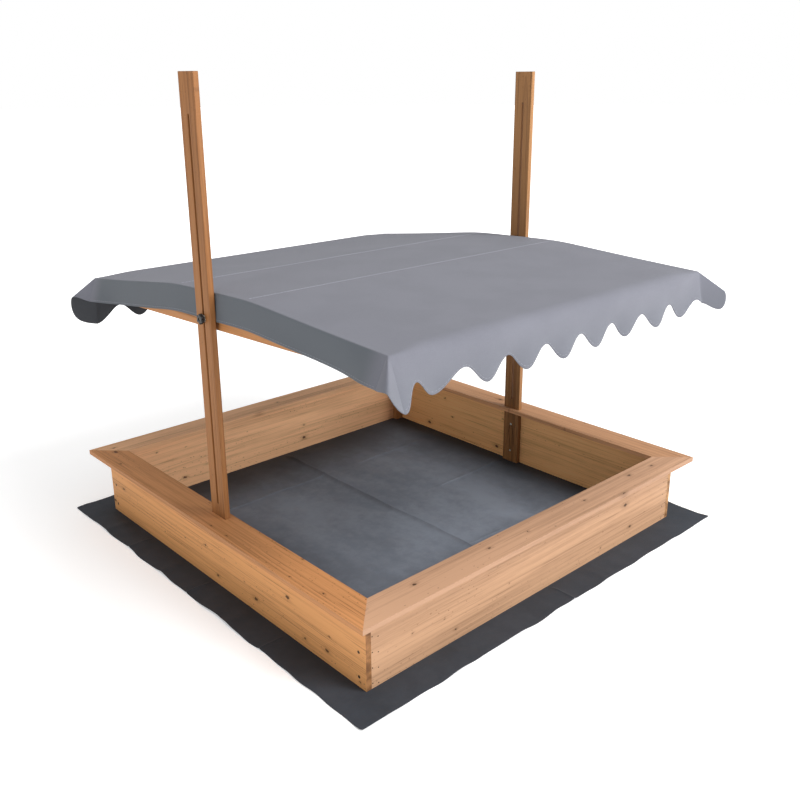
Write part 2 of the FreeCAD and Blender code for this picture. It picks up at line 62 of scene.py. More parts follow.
class Tree:
    """A material's node tree, with short calls to fill it."""

    def __init__(self, name, roughness=0.6):
        self.material = bpy.data.materials.new(name)
        self.material.use_nodes = True
        self.tree = self.material.node_tree
        self.shader = self.tree.nodes["Principled BSDF"]
        self.shader.inputs["Roughness"].default_value = roughness

    def add(self, kind, inputs=None, **settings):
        node = self.tree.nodes.new("ShaderNode" + kind)
        for key, value in settings.items():
            setattr(node, key, value)
        for key, value in (inputs or {}).items():
            self.put(node.inputs[key], value)
        return node

    def put(self, socket, value):
        if isinstance(value, bpy.types.NodeSocket):
            self.tree.links.new(value, socket)
        else:
            socket.default_value = value

    def set(self, **values):
        """Sets the shader's own sockets. Underscores stand for spaces."""
        for key, value in values.items():
            self.put(self.shader.inputs[key.replace("_", " ")], value)

    def math(self, operation, a, b=0.0, c=0.0, clamp=False):
        node = self.add("Math", {0: a, 1: b, 2: c}, operation=operation, use_clamp=clamp)
        return node.outputs[0]

    def where(self):
        """The point on the object, in the row's frame."""
        return self.add("TexCoord").outputs["Object"]

    def split(self, vector):
        return self.add("SeparateXYZ", {0: vector}).outputs

    def join(self, x, y, z):
        return self.add("CombineXYZ", {0: x, 1: y, 2: z}).outputs[0]

    def stretch(self, vector, scale):
        node = self.add("VectorMath", {0: vector, 1: scale}, operation="MULTIPLY")
        return node.outputs[0]

    def noise(self, vector, scale=1.0, detail=3.0, roughness=0.5):
        inputs = {"Vector": vector, "Scale": scale, "Detail": detail, "Roughness": roughness}
        return self.add("TexNoise", inputs).outputs[0]

    def fit(self, value, low, high, to_low=0.0, to_high=1.0, smooth=True):
        inputs = {0: value, 1: low, 2: high, 3: to_low, 4: to_high}
        kind = "SMOOTHSTEP" if smooth else "LINEAR"
        return self.add("MapRange", inputs, interpolation_type=kind).outputs[0]

    def blend(self, share, a, b, kind="MIX"):
        node = self.add("Mix", data_type="RGBA", blend_type=kind)
        self.put(node.inputs[0], share)
        self.put(node.inputs[6], a)
        self.put(node.inputs[7], b)
        return node.outputs[2]

    def bump(self, height, distance, strength):
        inputs = {"Height": height, "Distance": distance, "Strength": strength}
        return self.add("Bump", inputs).outputs[0]


def rgb(red, green, blue):
    """An sRGB colour, 0 to 255, as the linear colour a node takes."""
    def linear(value):
        value /= 255
        return value / 12.92 if value <= 0.04045 else ((value + 0.055) / 1.055) ** 2.4
    return (linear(red), linear(green), linear(blue), 1)


END_GRAIN, FLECK, KNOT = rgb(98, 64, 38), rgb(92, 56, 30), rgb(62, 36, 19)

# Which of x, y, z runs along a board, across its face and into it.
AXES = {"x": (0, 1, 2), "y": (1, 0, 2), "z": (2, 1, 0), "xz": (0, 2, 1), "yz": (1, 2, 0)}


def tone(colour, strength):
    """The colour, lighter or darker by strength, in linear light."""
    return tuple(part * strength for part in colour[:3]) + (1,)


def ragged_point(t, point):
    """The point, moved about a little, so that what is drawn with it has rough edges."""
    wave = t.add("TexNoise", {"Vector": point, "Scale": 140.0, "Detail": 2.0}).outputs[1]
    wave = t.add("VectorMath", {0: wave, 1: (0.5, 0.5, 0.5)}, operation="SUBTRACT").outputs[0]
    shift = t.stretch(wave, (0.007, 0.007, 0.007))
    return t.add("VectorMath", {0: point, 1: shift}, operation="ADD").outputs[0]


def scattered(t, point, scale, randomness):
    """Cells over a board's face: the distance from the nearest one's middle, and its lot."""
    inputs = {"Vector": t.stretch(point, scale), "Scale": 1.0, "Randomness": randomness}
    cells = t.add("TexVoronoi", inputs, voronoi_dimensions="2D")
    return cells.outputs["Distance"], t.split(cells.outputs["Color"])


def knot_field(t, ragged, knots):
    """The knots, and the wider halo of bent grain round each one."""
    far, lot = scattered(t, ragged, (9.0, 16.0, 0.0), 0.95)
    there = t.math("GREATER_THAN", lot[0], 1 - knots)
    size = t.fit(t.math("POWER", lot[1], 2.2), 0.0, 1.0, 0.012, 0.078, smooth=False)
    core = t.fit(t.math("SUBTRACT", far, size), -0.016, 0.010, 1.0, 0.0)
    halo = t.fit(far, 0.0, t.math("MULTIPLY", size, 4.0), 1.0, 0.0)
    return t.math("MULTIPLY", core, there), t.math("MULTIPLY", halo, there)


def fleck_field(t, ragged, flecks, patch):
    """Small dark marks, more of them in some patches than in others."""
    far, lot = scattered(t, ragged, (48.0, 110.0, 0.0), 1.0)
    fleck = t.fit(far, 0.05, 0.13, 1.0, 0.0)
    fleck = t.math("MULTIPLY", fleck, t.math("GREATER_THAN", lot[1], 1 - flecks))
    return t.math("MULTIPLY", fleck, t.fit(patch, 0.45, 0.62))


def late_wood(t, radius, seed, patch):
    """The dark part of each year's ring, stronger in some years and some patches."""
    rings = t.math("MULTIPLY", radius, 210.0)
    phase = t.math("FRACT", rings)
    late = t.math("MULTIPLY", t.fit(phase, 0.30, 0.92), t.fit(phase, 0.93, 1.0, 1.0, 0.0))
    year = t.noise(t.join(t.math("FLOOR", rings), seed, 0.0), scale=3.7, detail=0.0)
    late = t.math("MULTIPLY", late, t.fit(year, 0.35, 0.75, 0.12, 1.0))
    return t.math("MULTIPLY", late, t.fit(patch, 0.35, 0.65, 0.25, 1.0))


def wood(board, grain, seed, colour, knots=0.5, flecks=0.25, lines=0.5, heart=(0.0, -0.05),
         edge=1.0):
    """Knotty softwood. grain names the axes that run along the board and across its face.
    heart is where the tree's middle lies from the board's, across and behind its face.
    edge is the painted light on the board's long edges beside its face: painted shade below 1, a
    painted highlight above 1."""
    t = Tree(board + "_wood")
    turns = AXES[grain]
    low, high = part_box(board)
    middle = (low + high) / 2
    axes = t.split(t.where())
    along, across, depth = (axes[i] for i in turns)
    along = t.math("ADD", along, seed * 3.17)
    across = t.math("ADD", across, seed * 0.631)
    point = t.join(along, across, depth)

    ragged = ragged_point(t, point)
    core, halo = knot_field(t, ragged, knots)
    patch = t.noise(t.stretch(point, (2.2, 20.0, 20.0)), detail=1.0)
    fleck = fleck_field(t, ragged, flecks, patch)

    # The rings run round the tree's middle, drift a little, and bend round the knots.
    side = t.math("SUBTRACT", across, seed * 0.631 + middle[turns[1]] + heart[0])
    deep = t.math("SUBTRACT", depth, middle[turns[2]] + heart[1])
    radius = t.math("SQRT", t.math("ADD", t.math("MULTIPLY", side, side),
                                   t.math("MULTIPLY", deep, deep)))
    drift = t.noise(t.stretch(point, (0.8, 5.0, 5.0)), detail=2.0)
    wobble = t.noise(t.stretch(point, (3.0, 60.0, 60.0)), detail=2.0)
    shift = t.math("MULTIPLY_ADD", drift, 0.034, t.math("MULTIPLY", wobble, 0.002))
    shift = t.math("ADD", shift, t.math("MULTIPLY", halo, 0.0045))
    late = late_wood(t, t.math("ADD", radius, shift), seed, patch)

    fibre = t.noise(t.stretch(point, (26.0, 1000.0, 1000.0)), detail=3.0, roughness=0.6)
    streak = t.noise(t.stretch(point, (2.2, 120.0, 120.0)), detail=4.0, roughness=0.65)
    line = t.noise(t.stretch(point, (4.0, 260.0, 260.0)), detail=2.0)
    broad = t.noise(t.stretch(point, (0.9, 13.0, 13.0)), detail=2.0)

    dark = t.math("MULTIPLY", late, 0.42 * lines)
    dark = t.math("ADD", dark, t.fit(streak, 0.38, 0.78, -0.04, 0.46))
    dark = t.math("ADD", dark, t.math("MULTIPLY", t.fit(line, 0.62, 0.70), 0.60 * lines))
    dark = t.math("ADD", dark, t.fit(broad, 0.30, 0.70, -0.18, 0.22))
    dark = t.math("ADD", dark, t.fit(fibre, 0.3, 0.7, -0.09, 0.11))
    dark = t.math("ADD", dark, t.math("MULTIPLY", halo, 0.42))
    dark = t.math("MAXIMUM", t.math("MINIMUM", dark, 1.0), 0.0)
    browner = tone((colour[0] * 0.96, colour[1] * 0.90, colour[2] * 0.82), 0.52)
    mixed = t.blend(dark, tone(colour, 1.12), browner)

    facing = t.split(t.add("TexCoord").outputs["Normal"])
    ends = t.fit(t.math("ABSOLUTE", facing[turns[0]]), 0.6, 0.9)
    ends = t.math("MULTIPLY", ends, t.fit(wobble, 0.3, 0.7, 0.6, 0.95))
    mixed = t.blend(ends, mixed, END_GRAIN)
    # Painted light: the long edges beside the face are darkened or lightened by edge, for how the
    # lamps fall on them.
    if edge != 1.0:
        beside = t.fit(t.math("ABSOLUTE", facing[turns[1]]), 0.6, 0.9)
        mixed = t.blend(beside, mixed, tone((1, 1, 1), edge), kind="MULTIPLY")
    # Knots and flecks show on the board's faces, not drawn out over its edges.
    face = t.fit(t.math("ABSOLUTE", facing[turns[2]]), 0.5, 0.8)
    core = t.math("MULTIPLY", core, face)
    fleck = t.math("MULTIPLY", fleck, face)
    mixed = t.blend(t.math("MULTIPLY", fleck, 0.72), mixed, FLECK)
    mixed = t.blend(t.math("MULTIPLY", core, 0.88), mixed, KNOT)

    relief = t.math("ADD", t.math("MULTIPLY", fibre, 0.5), t.math("MULTIPLY", late, 0.25))
    relief = t.math("SUBTRACT", relief, t.math("MULTIPLY", core, 0.6))
    t.set(Base_Color=mixed, Roughness=t.fit(streak, 0.3, 0.7, 0.54, 0.66),
          Normal=t.bump(relief, 0.0004, 0.5))
    t.shader.inputs["Specular IOR Level"].default_value = 0.3
    return t.material


def cloth_material(name, colour, shade, thread, rough, sheen, relief, lighter_inside=None,
                   hanging=None, gloss=0.25):
    """A plain weave. thread is the width of one thread in metres. lighter_inside is a lighter
    colour within the box, most in the middle and in patches, and how far from the middle it
    reaches. hanging is the colour of painted shade on the cloth beyond a flat half width and half
    length: over the drapes, and on the valances towards their hems."""
    t = Tree(name, rough)
    flat = t.add("Attribute", attribute_name="flat").outputs["Vector"]
    axes = t.split(flat)
    turn = math.pi / thread
    warp = t.math("SINE", t.math("MULTIPLY", axes[0], turn))
    weft = t.math("SINE", t.math("MULTIPLY", axes[1], turn))
    over = t.math("MULTIPLY", warp, weft)
    slub = t.noise(t.stretch(flat, (900.0, 60.0, 0.0)), detail=2.0)
    slub_across = t.noise(t.stretch(flat, (60.0, 900.0, 0.0)), detail=2.0)
    cloud = t.noise(flat, scale=7.0, detail=4.0)
    grain = t.noise(flat, scale=420.0, detail=2.0)
    share = t.fit(cloud, 0.35, 0.65, 0.0, 0.45)
    share = t.math("ADD", share, t.fit(slub, 0.3, 0.7, -0.10, 0.18))
    share = t.math("ADD", share, t.fit(slub_across, 0.3, 0.7, -0.10, 0.18))
    share = t.math("ADD", share, t.fit(grain, 0.3, 0.7, -0.12, 0.12))
    share = t.math("ADD", share, t.math("MULTIPLY", over, 0.10), clamp=True)
    mixed = t.blend(share, colour, shade)
    # Lighter within the box, most in the middle and in patches, fading towards the walls.
    if lighter_inside is not None:
        light, reach = lighter_inside
        spot = t.split(t.where())
        gap = t.math("MAXIMUM", t.math("ABSOLUTE", spot[0]), t.math("ABSOLUTE", spot[1]))
        inside_patches = t.noise(t.stretch(flat, (5.0, 2.4, 1.0)), detail=5.0, roughness=0.6)
        mottle = t.noise(flat, scale=34.0, detail=5.0, roughness=0.7)
        inside_patches = t.math("ADD", inside_patches, t.fit(mottle, 0.3, 0.7, -0.06, 0.06))
        inside = t.fit(gap, reach - 0.34, reach, 1.0, 0.12)
        inside = t.math("MULTIPLY", inside, t.fit(inside_patches, 0.30, 0.70, 0.64, 0.94))
        mixed = t.blend(inside, mixed, light)
    # Painted shade: the drapes darker, and the valances darker towards their hems.
    if hanging is not None:
        dark, half_width, half_length = hanging
        across, along = (t.math("ABSOLUTE", axis) for axis in axes[:2])
        side = t.fit(across, half_width - 1 * MM, half_width + 3 * MM, 0.0, 1.0)
        side = t.math("MULTIPLY", side, t.fit(along, half_length - 60 * MM, half_length, 1.0, 0.0))
        end = t.fit(along, half_length, half_length + 90 * MM, 0.0, 0.3)
        mixed = t.blend(t.math("MAXIMUM", side, end), mixed, dark)
    height = t.math("ADD", t.math("MULTIPLY", over, 0.5), t.math("MULTIPLY", grain, 0.6))
    t.set(Base_Color=mixed, Normal=t.bump(height, relief, 0.5))
    t.shader.inputs["Sheen Weight"].default_value = sheen
    t.shader.inputs["Sheen Roughness"].default_value = 0.6
    t.shader.inputs["Specular IOR Level"].default_value = gloss
    return t.material


def plastic(name, colour, rough):
    """Moulded plastic with a fine spark finish."""
    t = Tree(name, rough)
    where = t.where()
    fine = t.noise(where, scale=2600.0, detail=2.0)
    mottle = t.noise(where, scale=90.0, detail=3.0)
    t.set(Base_Color=t.blend(t.fit(mottle, 0.35, 0.75, 0.0, 0.5), colour, tone(colour, 1.6)),
          Roughness=t.fit(mottle, 0.3, 0.7, rough - 0.06, rough + 0.10),
          Normal=t.bump(fine, 0.0002, 0.35))
    return t.material


def metal(name, colour, dull, rough):
    """Plated metal with fine scratches and a little tarnish."""
    t = Tree(name, rough)
    where = t.where()
    scratch = t.noise(t.stretch(where, (400.0, 3000.0, 3000.0)), detail=2.0)
    stain = t.noise(where, scale=220.0, detail=4.0)
    t.set(Base_Color=t.blend(t.fit(stain, 0.45, 0.72, 0.0, 0.8), colour, dull),
          Roughness=t.fit(stain, 0.3, 0.7, rough, rough + 0.22),
          Normal=t.bump(scratch, 0.0001, 0.3))
    t.shader.inputs["Metallic"].default_value = 1.0
    return t.material


def finish_node(name, material, bevel=0.0):
    """Gives a CAD node its material, and rounds its edges a little."""
    piece = nodes[name]
    piece.data.materials.clear()
    piece.data.materials.append(material)
    if bevel:
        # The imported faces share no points, so they are joined before their edges are rounded.
        piece.modifiers.new("joined", "WELD").merge_threshold = 0.00001
        rounded = piece.modifiers.new("edges", "BEVEL")
        rounded.width = bevel
        rounded.segments = 2
        rounded.limit_method = "ANGLE"
        rounded.angle_limit = math.radians(40)
        rounded.use_clamp_overlap = True
    for face in piece.data.polygons:
        face.use_smooth = True
    smooth = piece.modifiers.new("normals", "WEIGHTED_NORMAL")
    smooth.keep_sharp = True


# Each board: its grain, its own place in the tree, its colour, knots, flecks, lines, the
# tree's heart and, on a seat, the painted light on its long edges (painted shade below 1, a
# painted highlight above 1).
# The colours are partly each board's own stain and partly painted light: the front wall and front
# seat are less orange for a painted sheen, and the right wall is lighter against the shade inside
# the box.
BOARDS = {
    "wall_front": ("xz", 1.0, rgb(178, 140, 109), 0.60, 0.35, 0.6, (0.05, -0.045)),
    "wall_back": ("xz", 2.3, rgb(232, 182, 138), 0.45, 0.60, 0.8, (-0.03, -0.04)),
    "wall_left": ("yz", 3.1, rgb(212, 153, 97), 0.80, 0.30, 1.0, (0.12, -0.05)),
    "wall_right": ("yz", 4.7, rgb(250, 195, 134), 0.55, 0.20, 0.7, (0.03, -0.05)),
    "seat_front": ("x", 5.2, rgb(194, 152, 121), 0.65, 0.12, 0.5, (0.02, -0.06), 0.68),
    "seat_back": ("x", 6.4, rgb(222, 172, 130), 0.50, 0.35, 0.8, (-0.02, -0.05), 0.95),
    "seat_left": ("y", 7.7, rgb(198, 138, 88), 0.70, 0.40, 1.0, (0.01, -0.05), 0.85),
    "seat_right": ("y", 8.9, rgb(182, 136, 100), 0.55, 0.25, 0.7, (-0.02, -0.06), 1.7),
    "post_left": ("z", 9.3, rgb(147, 98, 55), 0.25, 0.40, 1.2, (0.01, -0.03)),
    "post_right": ("z", 10.6, rgb(152, 108, 66), 0.25, 0.40, 1.2, (-0.01, -0.03)),
    "rail_left": ("yz", 11.5, rgb(172, 118, 70), 0.15, 0.20, 1.0, (0.0, -0.04)),
    "rail_right": ("yz", 12.2, rgb(172, 118, 70), 0.15, 0.20, 1.0, (0.0, -0.04)),
    "riser_left": ("z", 13.8, rgb(176, 124, 76), 0.2, 0.2, 1.0, (0.0, -0.04)),
    "riser_right": ("z", 14.1, rgb(176, 124, 76), 0.2, 0.2, 1.0, (0.0, -0.04)),
    "bar_front": ("xz", 15.9, rgb(180, 130, 84), 0.3, 0.2, 0.8, (0.0, -0.04)),
    "bar_back": ("xz", 16.3, rgb(180, 130, 84), 0.3, 0.2, 0.8, (0.0, -0.04)),
    "ridge_bar_front": ("x", 17.4, rgb(178, 128, 82), 0.3, 0.2, 0.8, (0.0, -0.04)),
    "ridge_bar_back": ("x", 18.8, rgb(178, 128, 82), 0.3, 0.2, 0.8, (0.0, -0.04)),
    "corner_block_front_left": ("z", 19.1, rgb(176, 126, 80), 0.2, 0.2, 1.0, (0.0, -0.04)),
    "corner_block_front_right": ("z", 20.2, rgb(176, 126, 80), 0.2, 0.2, 1.0, (0.0, -0.04)),
    "corner_block_back_left": ("z", 21.6, rgb(176, 126, 80), 0.2, 0.2, 1.0, (0.0, -0.04)),
    "corner_block_back_right": ("z", 22.5, rgb(176, 126, 80), 0.2, 0.2, 1.0, (0.0, -0.04)),
}
for board, looks in BOARDS.items():
    finish_node(board, wood(board, *looks), 2.0 * MM if board.startswith("seat") else 1.3 * MM)

steel = metal("screw_steel", rgb(228, 225, 216), rgb(186, 179, 165), 0.42)
old_steel = metal("nail_steel", rgb(92, 78, 66), rgb(58, 44, 34), 0.5)
dark_steel = metal("bolt_steel", rgb(150, 150, 150), rgb(98, 96, 92), 0.36)
brass = metal("insert_brass", rgb(196, 164, 92), rgb(140, 108, 58), 0.30)
black_plastic = plastic("knob_plastic", rgb(17, 17, 19), 0.40)
grey_plastic = plastic("spacer_plastic", rgb(40, 40, 42), 0.5)
for group, look in (("corner_screws", old_steel), ("wall_nails", old_steel),
                    ("post_screws", steel), ("frame_screws", steel), ("ridge_screws", steel)):
    finish_node(group, look)
for side in ("left", "right"):
    finish_node("bolt_" + side, dark_steel)
    finish_node("washer_" + side, steel, 0.2 * MM)
    finish_node("spacer_" + side, grey_plastic, 0.4 * MM)
    finish_node("knob_" + side, black_plastic)
    finish_node("knob_insert_" + side, brass)
finish_node("seat_dowels", wood("seat_dowels", "x", 30.3, rgb(190, 146, 104), knots=0.0))


# ---------------------------------------------------------------- meshes


def mesh_piece(name, points, faces, material, flat=None, smooth=True):
    mesh = bpy.data.meshes.new(name)
    mesh.from_pydata([tuple(point) for point in points], [], faces)
    mesh.validate()
    if flat is not None:
        attribute = mesh.attributes.new("flat", "FLOAT_VECTOR", "POINT")
        attribute.data.foreach_set("vector", np.asarray(flat, np.float32).ravel())
    for face in mesh.polygons:
        face.use_smooth = smooth
    mesh.materials.append(material)
    piece = bpy.data.objects.new(name, mesh)
    bpy.context.scene.collection.objects.link(piece)
    return piece


def modifier(piece, kind, **settings):
    made = piece.modifiers.new(kind.lower(), kind)
    for key, value in settings.items():
        setattr(made, key, value)
    return made


def grid_faces(index):
    """Quads over a table of vertex numbers."""
    faces = []
    for row, above in zip(index[:-1], index[1:]):
        for a, b, c, d in zip(row[:-1], row[1:], above[1:], above[:-1]):
            corners = [a, b, c, d]
            kept = [n for i, n in enumerate(corners) if n != corners[i - 1]]
            if len(kept) > 2:
                faces.append(kept)
    return faces


def ease(value):
    value = min(max(value, 0.0), 1.0)
    return value * value * (3 - 2 * value)


def wander(x, y, scale, seed):
    """Smooth random height, -1 to 1, the same each run."""
    return noise.noise(Vector((x * scale, y * scale, seed)))


# ---------------------------------------------------------------- ground sheet

FOLD_X = 24 * MM                                # the long fold, from front to back
FOLDS_Y = (322 * MM, 20 * MM, -290 * MM)        # three short ones, from side to side
SHEET_SHIFT = Vector((14 * MM, 10 * MM))        # how far the sheet's far edges lie off


def sheet_lines(folds, reach):
    """Grid lines over the sheet, closer together beside each fold."""
    close = [fold + d * MM for fold in folds
             for d in (-24, -17, -11, -7, -4, -2, -1, 0, 1, 2, 4, 7, 11)]
    even = [x for x in np.linspace(-reach, reach, 141)
            if all(not -28 * MM < x - fold < 14 * MM for fold in folds)]
    return sorted(close + even)


def ridge(distance, wide):
    return math.exp(-abs(distance) / wide)


def sheet_edge(x, y, reach):
    """Where a point of the sheet lies, once its edges wander and its far sides are off."""
    s, r = x / reach, y / reach
    edge_x, edge_y = ease((abs(s) - 0.9) / 0.1), ease((abs(r) - 0.9) / 0.1)
    placed_x = x + edge_x * 6 * MM * wander(s * 3, y, 13.0, 3.3)
    placed_y = y + edge_y * 6 * MM * wander(x, r * 3, 13.0, 7.1)
    share = 0.25 + 0.75 * ease((s + 1) * (r + 1) / 4)
    placed_x += SHEET_SHIFT.x * share * abs(s) ** 8
    placed_y += SHEET_SHIFT.y * share * abs(r) ** 8
    return placed_x, placed_y


def height_inside(x, y):
    """Folds and creases within the walls."""
    height = 9 * MM * ridge(x - FOLD_X, 3 * MM if x > FOLD_X else 9 * MM)
    height += 2.6 * MM * ridge(y - FOLDS_Y[0], 3.5 * MM) * ease(
        (wander(x, 0.0, 5.0, 9.0) + 0.5) / 0.6)
    height += 3.0 * MM * ridge(y - FOLDS_Y[1], 3.5 * MM) * ease((x - 150 * MM) / (120 * MM))
    height += 2.2 * MM * ridge(y - FOLDS_Y[2], 3.5 * MM) * ease(
        (wander(x, 4.0, 5.0, 9.0) + 0.3) / 0.8)
    height += 6.5 * MM * max(0.0, wander(x + y * 0.35, y * 0.5, 7.0, 2.2))
    return height + 4.0 * MM * abs(wander(x * 1.2 + y * 0.3, y * 0.8, 11.0, 5.2))


def height_outside(x, y):
    """Loose waves in the strip past the walls."""
    height = 5.5 * MM * max(0.0, wander(x, y, 9.0, 6.4))
    height += 2.0 * MM * max(0.0, wander(x, y, 24.0, 8.8))
    along, folds = (x, [FOLD_X]) if abs(y) > abs(x) else (y, FOLDS_Y)
    for fold in folds:
        height += 3.0 * MM * ridge(along - fold, 4 * MM)
        height += 3.5 * MM * ridge(along - fold - 130 * MM, 16 * MM)
    return height


def ground_sheet():
    """A woven liner laid flat under the box, with fold lines and loose edges."""
    low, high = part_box("ground_sheet")
    reach = (high.x - low.x) / 2 - 6 * MM
    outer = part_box("wall_left")[0].x * -1
    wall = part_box("wall_left")[1].x * -1
    columns, rows = sheet_lines([FOLD_X], reach), sheet_lines(FOLDS_Y, reach)
    points, flat = [], []
    for y in rows:
        for x in columns:
            gap = max(abs(x), abs(y))
            height = 0.0
            if gap < wall:
                height = height_inside(x, y) * ease((wall - 6 * MM - gap) / (60 * MM))
            elif gap > outer + 4 * MM:
                height = height_outside(x, y) * ease((gap - outer - 4 * MM) / (30 * MM))
            points.append((*sheet_edge(x, y, reach), low.z + 0.02 * MM + height))
            flat.append((x, y, 0))
    index = np.arange(len(points)).reshape(len(rows), len(columns)).tolist()
    material = cloth_material("ground_cloth", rgb(29, 34, 41), rgb(22, 26, 31), 1.3 * MM,
                              0.60, 0.03, 0.0005, lighter_inside=(rgb(151, 159, 172), wall),
                              gloss=0.10)
    piece = mesh_piece("ground_liner", points, grid_faces(index), material, flat)
    modifier(piece, "SOLIDIFY", thickness=0.9 * MM, offset=1.0)
    modifier(piece, "SUBSURF", levels=1, render_levels=1)
    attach(piece, "box")
    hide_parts("ground_sheet")


ground_sheet()


# ---------------------------------------------------------------- canopy

HALF_WIDTH = 525.4 * MM      # to the drapes' inner face
HALF_LENGTH = 600.3 * MM     # to the front and back bars' outer face
RIDGE_HALF = 158 * MM        # from the middle to the ridge bars' outer edges
RIDGE_RISE = 58.6 * MM       # from the bolt's axis up to the cloth over the ridge bars
EAVE_RISE = 16.4 * MM        # and over the front and back bars
RIDGE_EASE = 24 * MM         # how gently the cloth bends over the ridge bars
ROLL = 26 * MM               # radius of the cloth over the front and back bars
CORNER_ROLL = 5 * MM         # the same at the bars' ends, where the cloth is pulled tight
FOLD = 2.0 * MM              # radius of the cloth over the gable edges
DRAPE = 66 * MM              # depth of the cloth at the sides
TIP = {-1: 113 * MM, 1: 134 * MM}            # a valance's depth at a point: front, back
NOTCH = {-1: 70 * MM, 1: 90 * MM}            # and between two points
WAVE = 119 * MM                              # from point to point
FIRST_TIP = {-1: -507 * MM, 1: -525 * MM}    # where the leftmost point is
THICK = 1.0 * MM
STITCH_LINE = 143 * MM       # from the middle to the seams over the ridge bars
SKIRT_ROWS = 12              # rows of points from the bend at the edge down to the hem
CORNER_STEPS = 24            # and the steps round a corner


def ear(x_side, v_side):
    """The fold of loose cloth at a corner: how far it stands out, and how far its two
    sides stand apart, towards the front or back and towards the side."""
    if (x_side, v_side) == (-1, -1):
        return math.radians(47), {"front": 0.24, "side": 0.38}
    return math.radians(54), {"front": 0.13, "side": 0.26}


def corner_lean(x_side, v_side, half):
    """How far the cloth beside that fold leans out."""
    return math.atan(ear(x_side, v_side)[1][half] * math.sqrt(2))


def roll(x):
    """The radius of the bend over the front and back bars."""
    return CORNER_ROLL + (ROLL - CORNER_ROLL) * ease((HALF_WIDTH - abs(x)) / (110 * MM))


def lift(x):
    """How far that bend stands off the bar's corner."""
    return roll(x) * (1 - math.sqrt(0.5)) + 0.3 * MM


def slope(x):
    return math.atan2(RIDGE_RISE - EAVE_RISE - lift(x), HALF_LENGTH - RIDGE_HALF)


def roof_end(x):
    """Where the roof stops being flat, from the middle."""
    return HALF_LENGTH + lift(x) - roll(x) * (1 - math.sin(slope(x)))


def roof_height(x, v):
    """The roof's height over the bolt, from the ridge bars down to the eaves."""
    beyond = (abs(v) - RIDGE_HALF) / RIDGE_EASE
    fall = RIDGE_EASE * (math.log1p(math.exp(-abs(beyond))) + max(beyond, 0.0))
    share = min(max((abs(v) - RIDGE_HALF) / (HALF_LENGTH - RIDGE_HALF), 0.0), 1.0)
    sag = 2.2 * MM * math.sin(math.pi * share) * (1 - 0.45 * (x / HALF_WIDTH) ** 2)
    return RIDGE_RISE - math.tan(slope(x)) * fall - sag


def hem_depth(x, v_side):
    """How far the wavy valance hangs below the roof's edge at x. The loose fold at the
    front-left corner draws its first wave towards it."""
    drawn = 0.0
    if v_side < 0:
        drawn = 32 * MM * math.exp(-((x + 430 * MM) / (85 * MM)) ** 2)
    phase = (x + drawn - FIRST_TIP[v_side]) / WAVE * 2 * math.pi
    tip, notch = TIP[v_side] + lift(x), NOTCH[v_side] + lift(x)
    depth = (tip + notch) / 2 + (tip - notch) / 2 * math.cos(phase)
    depth -= 0.2 * drawn + 6 * MM * ease(drawn / (30 * MM)) * ease((-450 * MM - x) / (60 * MM))
    sag = 7 * MM * math.cos(math.pi / 2 * x / HALF_WIDTH)
    return depth + sag + 2 * MM * wander(x, v_side, 6.0, 1.7)


def walk(start, bearing, heading, end_heading, radius, lengths, ripple=None):
    """Points at these lengths along a line that leaves start level with heading and turns
    down to end_heading over a bend of that radius. bearing is its way in plan."""
    points, spot, gone = [], np.array(start, float), 0.0
    for length in lengths:
        steps = max(1, int((length - gone) / (1.5 * MM)))
        for step in range(steps):
            middle = gone + (step + 0.5) * (length - gone) / steps
            angle = min(heading + middle / radius, end_heading)
            if ripple is not None:
                angle -= ripple(middle)
            reach = (length - gone) / steps
            spot = spot + reach * np.array((bearing[0] * math.cos(angle),
                                            bearing[1] * math.cos(angle), -math.sin(angle)))
        gone = length
        points.append(spot.copy())
    return points


def skirt_lengths(depth, bend):
    """Lengths from the roof's edge to the hem, close together over the bend."""
    below = [bend + (depth - bend) * (k + 1) / SKIRT_ROWS for k in range(SKIRT_ROWS)]
    return [bend * 0.33, bend * 0.67, bend] + below


class Cloth:
    """The points and faces of one cloth. Each point keeps its place on the flat cut."""

    def __init__(self):
        self.points, self.flat, self.faces = [], [], []

    def add(self, point, cut):
        self.points.append(TO_WORLD @ Vector(point))
        self.flat.append((cut[0], cut[1], 0))
        return len(self.points) - 1

    def fill(self, index, turned=False):
        faces = grid_faces(index)
        self.faces += [face[::-1] for face in faces] if turned else faces


def roof_columns():
    """Where lines of points run across the roof, close together at its two gables."""
    wide = HALF_WIDTH * 2
    columns = [0.0, 1.5 * MM, 5 * MM] + list(np.linspace(12 * MM, wide - 12 * MM, 150))
    columns += [wide - 5 * MM, wide - 1.5 * MM, wide]
    return [x - HALF_WIDTH for x in columns]


def roof_rows():
    """Where they run from front to back, with some beside the ridge bars."""
    ridges = [side * (RIDGE_HALF + d) for side in (-1, 1) for d in (-6 * MM, 0, 6 * MM)]
    return sorted(set(list(np.linspace(-HALF_LENGTH, HALF_LENGTH, 121)) + ridges))


def row_place(x, row):
    """Where a row runs at x, so that the last one is at the roof's end."""
    beyond = max(abs(row) - RIDGE_HALF, 0.0) / (HALF_LENGTH - RIDGE_HALF)
    return row - math.copysign(beyond * (HALF_LENGTH - roof_end(x)), row)


def add_roof(cloth, columns, rows):
    roof = []
    for row in rows:
        spots = [(x, row_place(x, row)) for x in columns]
        roof.append([cloth.add((x, v, roof_height(x, v)), (x, v)) for x, v in spots])
    cloth.fill(roof)
    return roof


